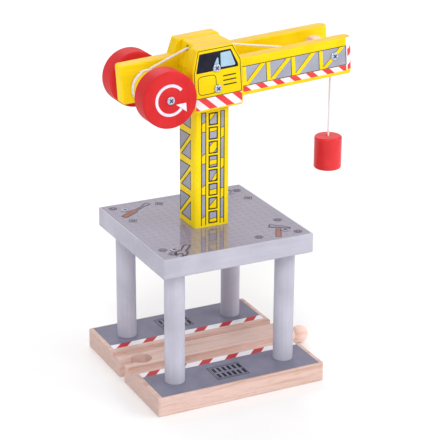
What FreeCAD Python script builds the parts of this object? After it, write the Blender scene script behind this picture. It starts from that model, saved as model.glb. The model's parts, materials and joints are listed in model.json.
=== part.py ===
import FreeCAD, Part
import math
import os

# Toy tower crane of painted wooden boards, millimetres.
# X runs along the rail grooves, from the socket end to the peg end.  Z is up.
# The origin is on the underside of the base, on the axis of the mast.

V = FreeCAD.Vector
UP = V(0, 0, 1)
DOWN = V(0, 0, -1)
LEFT = V(0, 1, 0)
RIGHT = V(0, -1, 0)
ALONG = V(1, 0, 0)

# ---- base board, cut for wooden railway track ----
base_length = 115.9
base_width = 113.0
base_thick = 12.7
base_corner_r = 1.6
rim_r = 0.8
groove_y = 13.0
groove_width = 6.0
groove_depth = 3.0
socket_r = 6.8
socket_x = -44.4
slot_width = 8.0
peg_ball_r = 5.8
peg_neck_r = 3.1
peg_ball_x = 71.6
peg_spigot = 14.0

# ---- four posts and the platform ----
post_x = 38.2
post_y = 37.5
post_r = 6.4
platform_length = 102.6
platform_width = 100.8
platform_bottom = 87.6
platform_thick = 12.6
platform_top = platform_bottom + platform_thick
platform_corner_r = 1.2

# ---- mast and swivel ----
mast_side = 23.4
mast_corner_r = 1.6
mast_top = 176.4
mast_screw_x = 6.0
washer_r = 8.2
seat_r = 8.7
seat_z = 178.9
pin_r = 3.0
pin_depth = 22.0
pin_head_r = 5.5
pin_head_thick = 3.0
pin_head_z = 184.0
thrust_gap = 0.05
bearing_gap = 0.08
pocket_gap = 0.4

# ---- crane head: four boards side by side, leaning nose-up on the swivel ----
# Head coordinates: X along the boom, Y across it, Z square to the boom, from head_z on the mast axis.
head_z = 200.0
head_lean = 3.9
board = 9.0
head_rim_r = 1.0
cab_rear = -16.4
cab_front = 16.7
cab_bottom = -21.8
cab_waist = 3.2
right_roof = 17.6
left_roof = 18.2
roof_rear = -12.5
right_roof_front = 11.8
left_roof_front = 15.0
block_roof_front = 14.2
roof_front_r = 2.8
right_boom_end = 94.7
left_boom_end = 93.2
right_boom_top = 7.0
left_boom_top = 8.4
left_boom_root = 20.0
boom_bottom = -16.6
nose_r = 4.4
cab_corner_r = 1.5
tail_end = -51.4
tail_top = 8.0
tail_root = -16.8
tail_bottom = -16.7
tail_corner_r = 1.8
block_recess = 3.0
block_shoulder = 8.0
cab_screw_points = ((-0.3, 4.4), (-0.1, -8.6))

# ---- guide dowel between the boom boards ----
guide_x = 81.2
guide_z = -3.4
guide_r = 7.2
guide_hole_r = 1.5
guide_flare_start = 1.0
guide_flare_length = 14.4
guide_flare_r = 6.8

# ---- winding drum and its two wheels ----
drum_x = -34.9
drum_z = -7.5
drum_r = 10.0
drum_hole_r = 10.4
wheel_r = 17.6
wheel_thick = 14.0
wheel_rim_r = 1.2
right_wheel_face = -25.3
left_wheel_face = 38.5

# ---- cord ----
cord_r = 0.65
wrap_r = drum_r + cord_r
wrap_near_board = 8.3
wrap_turns = 2.0
wrap_pitch = 1.3
channel_r = 2.0
seam_turn = 45.0  # keeps the channel's seam line out of the joint between the blocks
channel_rear = (-10.4, 14.2)
channel_front = (15.4, 12.3)
lip_r = 6.0
drop_r = 3.9
run_start = 5.7
drop_top_z = 195.0

# ---- load ----
load_x = 89.4
load_r = 9.0
load_bottom = 122.2
load_height = 21.7
load_rim_r = 1.4
load_bore_r = 1.5
load_bore_depth = 8.0
knot_r = 1.35
knot_z = 147.6
magnet_r = 5.0
magnet_thick = 3.0

# ---- wood screws ----
screw_r = 1.5
screw_head_r = 2.6
side_screw_rise = 1.1
deck_screw_rise = 0.45
screw_round_share = 0.7  # of how far a pan head stands proud
screw_slot_share = 0.7
screw_tip_r = 0.2
screw_tip_length = 3.0
screw_slot_width = 0.8
screw_slot_turn = 45.0
flush_slot_depth = 0.8
post_screw_length = 30.0
mast_screw_length = 34.0
cab_screw_length = 15.0
guide_screw_length = 14.0
wheel_screw_length = 26.0


# ---------------------------------------------------------------- tools

same_spot = 1e-6


def cylinder(radius, length, at, axis=UP):
    return Part.makeCylinder(radius, length, at, axis)


def box(x0, x1, y0, y1, z0, z1):
    return Part.makeBox(x1 - x0, y1 - y0, z1 - z0, V(x0, y0, z0))


def runs_along(edge, axis):
    """True for a straight edge parallel to the axis."""
    if not isinstance(edge.Curve, Part.Line):
        return False
    return abs(abs(edge.tangentAt(edge.FirstParameter).dot(axis)) - 1.0) < same_spot


def lies_at(edge, axis, level):
    """True for an edge that lies whole in the plane at this level along the axis."""
    middle = edge.valueAt((edge.FirstParameter + edge.LastParameter) / 2)
    points = [vertex.Point for vertex in edge.Vertexes] + [middle]
    return all(abs(point.dot(axis) - level) < same_spot for point in points)


def soften_rims(shape, axis, levels, radius):
    """Rounds the edges of the faces that stand at these levels along the axis."""
    rims = [e for e in shape.Edges if any(lies_at(e, axis, level) for level in levels)]
    return shape.makeFillet(radius, rims)


def soften_corners(shape, axis, radius):
    return shape.makeFillet(radius, [e for e in shape.Edges if runs_along(e, axis)])


def flat_board(length, width, bottom, thick, corner_r):
    """A board lying flat, with rounded corners and softened rims."""
    shape = box(-length / 2, length / 2, -width / 2, width / 2, bottom, bottom + thick)
    shape = soften_corners(shape, UP, corner_r)
    return soften_rims(shape, UP, (bottom, bottom + thick), rim_r)


def placed(shape, at, axis):
    """Moves a shape made along +Z at the origin to this point and axis."""
    shape.Placement = FreeCAD.Placement(at, FreeCAD.Rotation(UP, axis))
    return shape


def screw_bore(length, countersunk=False):
    """The hole that one wood screw fills, entering at the origin along +Z."""
    bore = cylinder(screw_r, length, V(0, 0, 0))
    bore = bore.fuse(Part.makeCone(screw_r, screw_tip_r, screw_tip_length, V(0, 0, length)))
    if countersunk:
        bore = bore.fuse(Part.makeCone(screw_head_r, screw_r, screw_head_r - screw_r))
    return bore.removeSplitter()


def cross_slots(shape, top, depth):
    half = screw_slot_width / 2
    slots = [box(-screw_r, screw_r, -half, half, top, top + depth),
             box(-half, half, -screw_r, screw_r, top, top + depth)]
    for slot in slots:
        slot.rotate(V(0, 0, 0), UP, screw_slot_turn)
    return shape.cut(slots)


def flush_screw(length):
    """A countersunk cross-head screw, with its head level with the origin."""
    return cross_slots(screw_bore(length, countersunk=True), 0, flush_slot_depth)


def pan_screw(length, rise):
    """A cross-head screw whose low domed head stands this far proud of the origin."""
    head = cylinder(screw_head_r, rise, V(0, 0, -rise))
    head = soften_rims(head, UP, (-rise,), screw_round_share * rise)
    return cross_slots(screw_bore(length).fuse(head).removeSplitter(), -rise, screw_slot_share * rise)


def set_of(screw, spots, axis):
    """Copies of one screw at each of these spots, entering along the axis."""
    return Part.makeCompound([placed(screw.copy(), at, axis) for at in spots])


def drill(shape, spots, axis, length, countersunk=False):
    """Cuts the bores of a set of screws."""
    return shape.cut([placed(screw_bore(length, countersunk), at, axis) for at in spots])


HEAD = FreeCAD.Placement(V(0, 0, head_z), FreeCAD.Rotation(LEFT, -head_lean))


def on_head(shape):
    """Moves a shape from head coordinates to the crane's own."""
    shape.Placement = HEAD.multiply(shape.Placement)
    return shape


def head_point(x, y, z):
    return HEAD.multVec(V(x, y, z))


def head_axis(direction):
    return HEAD.Rotation.multVec(direction)


def upright_board(outline, y0, corner_radii):
    """A board on edge, from an outline of (x, z) points, with rounded corners."""
    points = [V(x, y0, z) for x, z in outline]
    shape = Part.Face(Part.makePolygon(points + points[:1])).extrude(LEFT * board)
    for radius, corners in corner_radii:
        edges = [e for e in shape.Edges if runs_along(e, LEFT) and any(passes(e, x, z) for x, z in corners)]
        shape = shape.makeFillet(radius, edges)
    return shape


def passes(edge, x, z):
    """True for an edge across the board that starts at this point of its outline."""
    start = edge.Vertexes[0]
    return math.hypot(start.X - x, start.Z - z) < same_spot


def round_nose(shape, end):
    """Rounds the boom's end over the thickness of the board, top to bottom."""
    corners = [e for e in shape.Edges if lies_at(e, ALONG, end) and runs_along(e, UP)]
    return shape.makeFillet(nose_r, corners)


def soften_side(shape, y0, end):
    """Softens the rims of a side board, which run on round its nose."""
    faces = (y0, y0 + board)
    tangent = [e for e in shape.Edges if lies_at(e, ALONG, end - nose_r) and runs_along(e, UP)]
    rims = [e for e in shape.Edges if any(lies_at(e, LEFT, y) for y in faces)
            and not any(e.isSame(smooth) for smooth in tangent)]
    return shape.makeFillet(head_rim_r, rims)


def bent_tube(points, radii):
    """A round cord along straight runs joined by tangent arcs, one radius for each inner point."""
    edges = []
    start = points[0]
    for before, corner, after, radius in zip(points, points[1:], points[2:], radii):
        inward = (corner - before).normalize()
        outward = (after - corner).normalize()
        half_turn = inward.getAngle(outward) / 2
        setback = radius * math.tan(half_turn)
        bisector = (outward - inward).normalize()
        crown = corner + bisector * (radius / math.cos(half_turn) - radius)
        arc_start = corner - inward * setback
        arc_end = corner + outward * setback
        edges.append(Part.LineSegment(start, arc_start).toShape())
        edges.append(Part.Arc(arc_start, crown, arc_end).toShape())
        start = arc_end
    edges.append(Part.LineSegment(start, points[-1]).toShape())
    path = Part.Wire(edges)
    section = Part.Wire(Part.makeCircle(cord_r, points[0], points[1] - points[0]))
    tube = path.makePipeShell([section], True, False)
    ratio = tube.Volume / (math.pi * cord_r ** 2 * path.Length)
    print("tube length", round(path.Length, 2), "radii", radii, "volume ratio", round(ratio, 4))
    return tube


# ---------------------------------------------------------------- base and platform

post_spots = [(x, y) for x in (-post_x, post_x) for y in (-post_y, post_y)]
post_screw_spots = [V(x, y, 0) for x, y in post_spots]
deck_screw_spots = [V(x, y, platform_top) for x, y in post_spots]


def base_board():
    shape = flat_board(base_length, base_width, 0, base_thick, base_corner_r)
    end = base_length / 2
    cuts = [cylinder(socket_r, base_thick, V(socket_x, 0, 0)),
            box(-end, socket_x, -slot_width / 2, slot_width / 2, 0, base_thick),
            cylinder(peg_neck_r, peg_spigot, V(end - peg_spigot, 0, base_thick / 2), ALONG)]
    for side in (-1, 1):
        middle = side * groove_y
        cuts.append(box(-end, end, middle - groove_width / 2, middle + groove_width / 2,
                        base_thick - groove_depth, base_thick))
    shape = shape.cut(cuts)
    return drill(shape, post_screw_spots, UP, post_screw_length, countersunk=True)


def coupling_peg():
    """Turned ball on a neck, with its spigot glued in the end of the base."""
    end = base_length / 2
    middle = base_thick / 2
    ball = Part.makeSphere(peg_ball_r, V(peg_ball_x, 0, middle))
    neck = cylinder(peg_neck_r, peg_ball_x - end + peg_spigot, V(end - peg_spigot, 0, middle), ALONG)
    return ball.fuse(neck).removeSplitter()


def post(x, y):
    shape = cylinder(post_r, platform_bottom - base_thick, V(x, y, base_thick))
    shape = drill(shape, [V(x, y, 0)], UP, post_screw_length, countersunk=True)
    return drill(shape, [V(x, y, platform_top)], DOWN, post_screw_length)


def platform_board():
    shape = flat_board(platform_length, platform_width, platform_bottom, platform_thick, platform_corner_r)
    shape = drill(shape, deck_screw_spots, DOWN, post_screw_length)
    return drill(shape, mast_screw_spots, UP, mast_screw_length, countersunk=True)


# ---------------------------------------------------------------- mast and swivel

mast_screw_spots = [V(x, 0, platform_bottom) for x in (-mast_screw_x, mast_screw_x)]


def mast():
    half = mast_side / 2
    shape = box(-half, half, -half, half, platform_top, mast_top)
    shape = soften_corners(shape, UP, mast_corner_r)
    shape = soften_rims(shape, UP, (mast_top,), rim_r)
    shape = shape.cut(cylinder(pin_r, pin_depth, V(0, 0, mast_top - pin_depth)))
    return drill(shape, mast_screw_spots, UP, mast_screw_length, countersunk=True)


def swivel_pin():
    """Headed pin glued in the mast; its head is trapped in a pocket of the cab blocks."""
    foot = mast_top - pin_depth
    shank = cylinder(pin_r, pin_head_z - foot, V(0, 0, foot))
    head = cylinder(pin_head_r, pin_head_thick, V(0, 0, pin_head_z))
    return shank.fuse(head).removeSplitter()


def swivel_washer():
    thick = seat_z - thrust_gap - mast_top
    return cylinder(washer_r, thick, V(0, 0, mast_top)).cut(cylinder(pin_r, thick, V(0, 0, mast_top)))


def cut_for_swivel(block):
    """Seat, bore and head pocket, all on the mast's axis whatever the lean of the head."""
    seat = cylinder(seat_r, 2 * board, V(0, 0, seat_z - 2 * board))
    bore = cylinder(pin_r + bearing_gap, pin_head_z - mast_top, V(0, 0, mast_top))
    floor = pin_head_z - thrust_gap
    pocket = cylinder(pin_head_r + pocket_gap, pin_head_thick + pocket_gap, V(0, 0, floor))
    return block.cut([seat, bore, pocket])


# ---------------------------------------------------------------- crane head

cab_feet = [(cab_front, cab_bottom), (cab_rear, cab_bottom)]
boom_underside = (cab_front, boom_bottom)
side_screw_spots = {
    "cab": lambda y: [head_point(x, y, z) for x, z in cab_screw_points],
    "guide": lambda y: [head_point(guide_x, y, guide_z)],
}


def drill_side(shape, y, axis):
    """The screw bores that enter the head from one of its outer faces."""
    shape = drill(shape, side_screw_spots["cab"](y), axis, cab_screw_length)
    return drill(shape, side_screw_spots["guide"](y), axis, guide_screw_length)


def right_side_board():
    roof_ends = [(roof_rear, right_roof), (right_roof_front, right_roof)]
    boom_root = (cab_front, right_boom_top)
    outline = roof_ends + [boom_root, (right_boom_end, right_boom_top), (right_boom_end, boom_bottom)]
    outline += [boom_underside] + cab_feet + [(cab_rear, cab_waist)]
    rounded = roof_ends + [boom_root, boom_underside] + cab_feet
    shape = upright_board(outline, -2 * board, ((cab_corner_r, rounded),))
    shape = soften_side(round_nose(shape, right_boom_end), -2 * board, right_boom_end)
    return drill_side(on_head(shape), -2 * board, head_axis(LEFT))


def left_side_board():
    """The far board runs on behind the cab as a tail that carries the winding drum."""
    roof_ends = [(roof_rear, left_roof), (left_roof_front, left_roof)]
    boom_root = (left_boom_root, left_boom_top)
    tail_ends = [(tail_end, tail_bottom), (tail_end, tail_top)]
    tail_roots = [(cab_rear, tail_bottom), (tail_root, tail_top)]
    outline = roof_ends + [boom_root, (left_boom_end, left_boom_top), (left_boom_end, boom_bottom)]
    outline += [boom_underside] + cab_feet + tail_roots[:1] + tail_ends + tail_roots[1:]
    rounded = roof_ends[:1] + [boom_root, boom_underside] + cab_feet + tail_roots
    corner_radii = ((cab_corner_r, rounded), (roof_front_r, roof_ends[1:]), (tail_corner_r, tail_ends))
    shape = upright_board(outline, board, corner_radii)
    shape = soften_side(round_nose(shape, left_boom_end), board, left_boom_end)
    shape = shape.cut(cylinder(drum_hole_r, board, V(drum_x, board, drum_z), LEFT))
    return drill_side(on_head(shape), 2 * board, head_axis(RIGHT))


def cord_channel():
    """Hole for the cord, drilled along the joint of the two cab blocks."""
    rear = V(channel_rear[0], 0, channel_rear[1])
    run = V(channel_front[0], 0, channel_front[1]) - rear
    channel = cylinder(channel_r, 2 * run.Length, rear - run * 0.5, run)
    channel.rotate(rear, run, seam_turn)
    return channel


def cab_block(y0):
    rear = cab_rear + block_recess
    roof_ends = [(roof_rear + block_recess, right_roof), (block_roof_front, right_roof)]
    feet = [(cab_front, cab_bottom), (rear, cab_bottom)]
    outline = roof_ends + [(cab_front, block_shoulder)] + feet + [(rear, cab_waist)]
    corner_radii = ((cab_corner_r, roof_ends[:1] + feet), (roof_front_r, roof_ends[1:]))
    shape = upright_board(outline, y0, corner_radii)
    shape = soften_rims(shape, LEFT, (y0, y0 + board), head_rim_r)
    shape = cut_for_swivel(on_head(shape.cut(cord_channel())))
    for y, axis in ((-2 * board, LEFT), (2 * board, RIGHT)):
        shape = drill(shape, side_screw_spots["cab"](y), head_axis(axis), cab_screw_length)
    return shape


def guide_line():
    """Start and direction of the cord's straight run, in head coordinates."""
    start = V(channel_front[0], 0, channel_front[1])
    return start, (V(guide_x, 0, guide_z) - start).normalize()


def guide_dowel():
    """Plain wooden dowel with a cross hole that keeps the cord at the middle of the boom."""
    shape = cylinder(guide_r, 2 * board, V(guide_x, -board, guide_z), LEFT)
    direction = guide_line()[1]
    centre = V(guide_x, 0, guide_z)
    hole = cylinder(guide_hole_r, 4 * guide_r, centre - direction * 2 * guide_r, direction)
    flare_foot = centre + direction * guide_flare_start
    flare = Part.makeCone(guide_hole_r, guide_flare_r, guide_flare_length, flare_foot, direction)
    shape = on_head(shape.cut([hole, flare]))
    for y, axis in ((-2 * board, LEFT), (2 * board, RIGHT)):
        shape = drill(shape, side_screw_spots["guide"](y), head_axis(axis), guide_screw_length)
    return shape


# ---------------------------------------------------------------- winding gear

def winding_drum():
    inner_right = right_wheel_face + wheel_thick
    inner_left = left_wheel_face - wheel_thick
    shape = cylinder(drum_r, inner_left - inner_right, V(drum_x, inner_right, drum_z), LEFT)
    return drill_wheel_axis(on_head(shape))


def drill_wheel_axis(shape):
    for face, axis in ((right_wheel_face, LEFT), (left_wheel_face, RIGHT)):
        shape = drill(shape, [head_point(drum_x, face, drum_z)], head_axis(axis), wheel_screw_length)
    return shape


def winding_wheel(y0):
    shape = cylinder(wheel_r, wheel_thick, V(drum_x, y0, drum_z), LEFT)
    shape = soften_rims(shape, LEFT, (y0, y0 + wheel_thick), wheel_rim_r)
    return drill_wheel_axis(on_head(shape))


def wheel_screws():
    screw = pan_screw(wheel_screw_length, side_screw_rise)
    right = set_of(screw, [head_point(drum_x, right_wheel_face, drum_z)], head_axis(LEFT))
    left = set_of(screw, [head_point(drum_x, left_wheel_face, drum_z)], head_axis(RIGHT))
    return Part.makeCompound(right.Solids + left.Solids)


# ---------------------------------------------------------------- cord

def cord_windings():
    """The space of the turns that lie side by side on the drum, next to the tail board."""
    low = wrap_near_board - wrap_turns * wrap_pitch - cord_r
    high = wrap_near_board + cord_r
    ring = cylinder(drum_r + 2 * cord_r, high - low, V(drum_x, low, drum_z), LEFT)
    return on_head(ring.cut(cylinder(drum_r, high - low, V(drum_x, low, drum_z), LEFT)))


def wrap_tangent():
    """Where the straight cord leaves the drum, and its direction, in the plane of the boom."""
    reach_x = channel_rear[0] - drum_x
    reach_z = channel_rear[1] - drum_z
    slope = math.atan2(reach_z, reach_x) - math.asin(wrap_r / math.hypot(reach_x, reach_z))
    return (drum_x - wrap_r * math.sin(slope), drum_z + wrap_r * math.cos(slope))


def cord_run():
    """From the drum through the cab and the guide dowel, then down over the dowel's mouth."""
    leave_x, leave_z = wrap_tangent()
    leave = V(leave_x, wrap_near_board - wrap_turns * wrap_pitch, leave_z)
    rear = V(channel_rear[0], 0, channel_rear[1])
    begin = leave + (rear - leave).normalize() * run_start
    front, direction = guide_line()
    exit_point = HEAD.multVec(front)
    exit_axis = head_axis(direction)
    corner = exit_point + exit_axis * ((load_x - exit_point.x) / exit_axis.x)
    points = [HEAD.multVec(begin), HEAD.multVec(rear), exit_point, corner, V(load_x, 0, drop_top_z)]
    return bent_tube(points, (lip_r, lip_r, drop_r))


def cord_drop():
    return cylinder(cord_r, drop_top_z - knot_z - knot_r, V(load_x, 0, knot_z + knot_r))


def cord_knot():
    """The knot above the load and the cord's end, glued in the load."""
    foot = load_bottom + load_height - load_bore_depth
    end = cylinder(cord_r, knot_z - foot, V(load_x, 0, foot))
    return Part.makeSphere(knot_r, V(load_x, 0, knot_z)).fuse(end).removeSplitter()


# ---------------------------------------------------------------- load

def load_block():
    top = load_bottom + load_height
    shape = cylinder(load_r, load_height, V(load_x, 0, load_bottom))
    shape = soften_rims(shape, UP, (load_bottom, top), load_rim_r)
    return shape.cut([cylinder(load_bore_r, load_bore_depth, V(load_x, 0, top - load_bore_depth)),
                      cylinder(magnet_r, magnet_thick, V(load_x, 0, load_bottom))])


def load_magnet():
    return cylinder(magnet_r, magnet_thick, V(load_x, 0, load_bottom))


# ---------------------------------------------------------------- the whole crane

def build():
    nodes = {
        "base_board": base_board(),
        "coupling_peg": coupling_peg(),
        "post_screws": set_of(flush_screw(post_screw_length), post_screw_spots, UP),
        "platform_board": platform_board(),
        "platform_screws": set_of(pan_screw(post_screw_length, deck_screw_rise), deck_screw_spots, DOWN),
        "mast": mast(),
        "mast_screws": set_of(flush_screw(mast_screw_length), mast_screw_spots, UP),
        "swivel_pin": swivel_pin(),
        "swivel_washer": swivel_washer(),
        "right_side_board": right_side_board(),
        "right_cab_block": cab_block(-board),
        "left_cab_block": cab_block(0),
        "left_side_board": left_side_board(),
        "guide_dowel": guide_dowel(),
        "winding_drum": winding_drum(),
        "right_winding_wheel": winding_wheel(right_wheel_face),
        "left_winding_wheel": winding_wheel(left_wheel_face - wheel_thick),
        "wheel_screws": wheel_screws(),
        "cord_windings": cord_windings(),
        "cord_run": cord_run(),
        "cord_drop": cord_drop(),
        "cord_knot": cord_knot(),
        "load_block": load_block(),
        "load_magnet": load_magnet(),
    }
    names = ("rear_right_post", "rear_left_post", "front_right_post", "front_left_post")
    for name, (x, y) in zip(names, post_spots):
        nodes[name] = post(x, y)
    for side, y, axis in (("right", -2 * board, LEFT), ("left", 2 * board, RIGHT)):
        for joint, length in (("cab_screws", cab_screw_length), ("guide_screw", guide_screw_length)):
            spots = side_screw_spots[joint.split("_")[0]](y)
            nodes[side + "_" + joint] = set_of(pan_screw(length, side_screw_rise), spots, head_axis(axis))
    return nodes


os.makedirs("parts", exist_ok=True)
for node, shape in build().items():
    shape.exportStep("parts/" + node + ".step")
    print(node, "solids", len(shape.Solids), "valid", shape.isValid(), "volume", round(shape.Volume, 1))
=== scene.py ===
import json
import math

import bmesh
import bpy
from mathutils import Matrix, Vector


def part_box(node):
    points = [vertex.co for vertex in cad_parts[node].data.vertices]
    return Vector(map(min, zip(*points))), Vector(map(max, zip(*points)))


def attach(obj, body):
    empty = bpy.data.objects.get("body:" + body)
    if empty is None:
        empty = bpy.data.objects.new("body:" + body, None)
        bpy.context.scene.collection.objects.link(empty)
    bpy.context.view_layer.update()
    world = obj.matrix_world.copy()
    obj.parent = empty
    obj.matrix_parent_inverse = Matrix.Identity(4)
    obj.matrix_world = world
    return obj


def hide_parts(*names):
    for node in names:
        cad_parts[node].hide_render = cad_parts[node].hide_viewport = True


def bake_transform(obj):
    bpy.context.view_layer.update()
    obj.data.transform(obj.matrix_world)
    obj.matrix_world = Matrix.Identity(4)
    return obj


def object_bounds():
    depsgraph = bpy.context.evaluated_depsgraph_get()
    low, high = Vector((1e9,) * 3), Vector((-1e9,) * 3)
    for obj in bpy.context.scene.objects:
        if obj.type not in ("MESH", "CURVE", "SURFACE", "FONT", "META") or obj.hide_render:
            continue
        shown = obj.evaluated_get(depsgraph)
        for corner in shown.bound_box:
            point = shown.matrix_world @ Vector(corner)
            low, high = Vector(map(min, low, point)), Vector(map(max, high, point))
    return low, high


# Looks of the wooden toy tower crane.  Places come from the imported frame, in metres.
# Printed artwork is laid out in millimetres on flat faces, as a print shop would draw it.

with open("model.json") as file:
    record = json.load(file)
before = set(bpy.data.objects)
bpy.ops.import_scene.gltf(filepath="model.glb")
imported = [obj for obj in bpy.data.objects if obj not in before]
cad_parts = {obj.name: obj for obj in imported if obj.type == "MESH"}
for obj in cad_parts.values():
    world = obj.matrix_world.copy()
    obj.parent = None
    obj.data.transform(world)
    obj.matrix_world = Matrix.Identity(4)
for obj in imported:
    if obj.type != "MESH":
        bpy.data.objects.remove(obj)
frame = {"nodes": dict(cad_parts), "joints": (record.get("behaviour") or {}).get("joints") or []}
cad_low, cad_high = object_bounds()

MM = 0.001
UP = Vector((0, 0, 1))
LEFT = Vector((0, 1, 0))
RIGHT = Vector((0, -1, 0))
FRONT = Vector((1, 0, 0))
REAR = Vector((-1, 0, 0))

# The crane head leans nose-up about the swivel, from a point on the mast's axis.
head_lean = math.radians(3.9)
head_centre = Vector((0, 0, 0.2))
HEAD = Matrix.Translation(head_centre) @ Matrix.Rotation(-head_lean, 4, LEFT)
joint_at = {joint["name"]: Vector(joint.get("pos_m") or (0, 0, 0)) for joint in frame["joints"]}


def on_head(x, y, z):
    """A point given in head coordinates, in millimetres."""
    return HEAD @ (Vector((x, y, z)) * MM)


# ---------------------------------------- camera

camera_at = Vector((-0.40885, -0.83658, 0.45867))
camera_turn = math.radians(-26.674)
camera_dip = math.radians(21.054)
camera_roll = math.radians(0.332)

camera_data = bpy.data.cameras.new("camera")
camera_data.sensor_width = 36
camera_data.lens = 128.9
camera = bpy.data.objects.new("camera", camera_data)
bpy.context.scene.collection.objects.link(camera)
camera.matrix_world = (Matrix.Translation(camera_at) @ Matrix.Rotation(camera_turn, 4, UP)
                       @ Matrix.Rotation(math.pi / 2 - camera_dip, 4, FRONT)
                       @ Matrix.Rotation(camera_roll, 4, UP))
bpy.context.scene.camera = camera


# ---------------------------------------- materials

# Texture scales are per millimetre of the piece, and bump depths are in metres.
polish = 0.06  # the roughness of a varnish coat


def new_material(name):
    material = bpy.data.materials.new(name)
    material.use_nodes = True
    return material, material.node_tree, material.node_tree.nodes["Principled BSDF"]


def set_values(node, values):
    """Sets the unlinked inputs of a node."""
    for label, value in values.items():
        node.inputs[label].default_value = value


def object_coordinates(tree, stretch=(1, 1, 1), turn=0.0):
    """Object coordinates in millimetres, squeezed along the grain."""
    coordinates = tree.nodes.new("ShaderNodeTexCoord")
    mapping = tree.nodes.new("ShaderNodeMapping")
    set_values(mapping, {"Scale": [share / MM for share in stretch], "Rotation": (0, turn, 0)})
    tree.links.new(coordinates.outputs["Object"], mapping.inputs["Vector"])
    return mapping.outputs["Vector"]


def noise(tree, vector, scale, detail=4.0, roughness=0.5, distortion=0.0):
    texture = tree.nodes.new("ShaderNodeTexNoise")
    set_values(texture, {"Scale": scale, "Detail": detail, "Roughness": roughness,
                         "Distortion": distortion})
    tree.links.new(vector, texture.inputs["Vector"])
    return texture.outputs["Fac"]


def ramp(tree, value, stops):
    """A colour ramp from (position, colour) stops."""
    node = tree.nodes.new("ShaderNodeValToRGB")
    elements = node.color_ramp.elements
    while len(elements) < len(stops):
        elements.new(0.5)
    for element, (position, colour) in zip(elements, stops):
        element.position = position
        element.color = (*colour, 1)
    tree.links.new(value, node.inputs["Fac"])
    return node.outputs["Color"]


def grey(level):
    return (level, level, level)


def set_gloss(tree, shader, texture, low, high):
    """Lets the roughness run from low to high with a texture."""
    tree.links.new(ramp(tree, texture, ((0.3, grey(low)), (0.7, grey(high)))),
                   shader.inputs["Roughness"])


def shade(colour, share, lift=0.0):
    """A colour made darker or paler, up to white."""
    return tuple(min(1.0, channel * share + lift) for channel in colour)


def tinted(colour, shares):
    """A colour with each of its channels toned by its own share."""
    return tuple(channel * share for channel, share in zip(colour, shares))


def blend_colour(tree, share, first, second, mode="MIX"):
    """Mixes two colours; each may be a socket or a plain colour."""
    mix = tree.nodes.new("ShaderNodeMix")
    mix.data_type = "RGBA"
    mix.blend_type = mode
    for label, value in (("Factor", share), ("A", first), ("B", second)):
        socket = mix.inputs[label]
        if isinstance(value, bpy.types.NodeSocket):
            tree.links.new(value, socket)
        else:
            socket.default_value = value if isinstance(value, float) else (*value, 1)
    return mix.outputs["Result"]


def bumps(tree, shader, *layers):
    """Stacks bump layers of (height socket, strength, depth in metres)."""
    below = None
    for height, strength, depth in layers:
        bump = tree.nodes.new("ShaderNodeBump")
        set_values(bump, {"Strength": strength, "Distance": depth})
        tree.links.new(height, bump.inputs["Height"])
        if below:
            tree.links.new(below, bump.inputs["Normal"])
        below = bump.outputs["Normal"]
    tree.links.new(below, shader.inputs["Normal"])


def facing(tree, direction, low, high):
    """How far the surface looks along a direction of the piece, from 0 at low to 1 at high."""
    coordinates = tree.nodes.new("ShaderNodeTexCoord")
    dot = tree.nodes.new("ShaderNodeVectorMath")
    dot.operation = "DOT_PRODUCT"
    dot.inputs[1].default_value = direction
    tree.links.new(coordinates.outputs["Normal"], dot.inputs[0])
    spread = tree.nodes.new("ShaderNodeMapRange")
    set_values(spread, {"From Min": low, "From Max": high})
    tree.links.new(dot.outputs["Value"], spread.inputs["Value"])
    return spread.outputs["Result"]


def painted_wood(name, colour, stretch, bare_and_sheen=None, turn=0.0, roughness=0.36, sheen=0.08,
                 varnish=0.0):
    """Satin paint over beech: the grain stands through it, and its upward faces take a peach tint
    along the grain, partly paint worn thin and partly a painted reflection.
    """
    material, tree, shader = new_material(name)
    along = object_coordinates(tree, stretch, turn)
    even = object_coordinates(tree)
    grain = noise(tree, along, 0.55, 5.0, 0.6)
    cloud = noise(tree, even, 0.045, 3.0)
    speck = noise(tree, even, 1.6, 2.0)
    tone = ramp(tree, cloud, ((0.3, shade(colour, 0.90)), (0.7, shade(colour, 1.06, 0.012))))
    streaks = ramp(tree, grain, ((0.35, grey(0.93)), (0.65, grey(1.0))))
    film = blend_colour(tree, 1.0, tone, streaks, "MULTIPLY")
    if bare_and_sheen:
        # Partly wear, partly painted reflection: upward faces, where the grain allows, take the
        # peach colour.
        thin = facing(tree, UP, 0.72, 0.95)
        wear = ramp(tree, grain, ((0.38, grey(0.15)), (0.62, grey(0.85))))
        film = blend_colour(tree, multiply(tree, thin, wear), film, bare_and_sheen)
    tree.links.new(film, shader.inputs["Base Color"])
    set_gloss(tree, shader, speck, roughness - 0.04, roughness + 0.07)
    set_values(shader, {"Specular IOR Level": sheen, "Coat Weight": varnish,
                        "Coat Roughness": polish})
    bumps(tree, shader, (grain, 0.35, 0.00012), (speck, 0.2, 0.00004))
    return material


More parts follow.
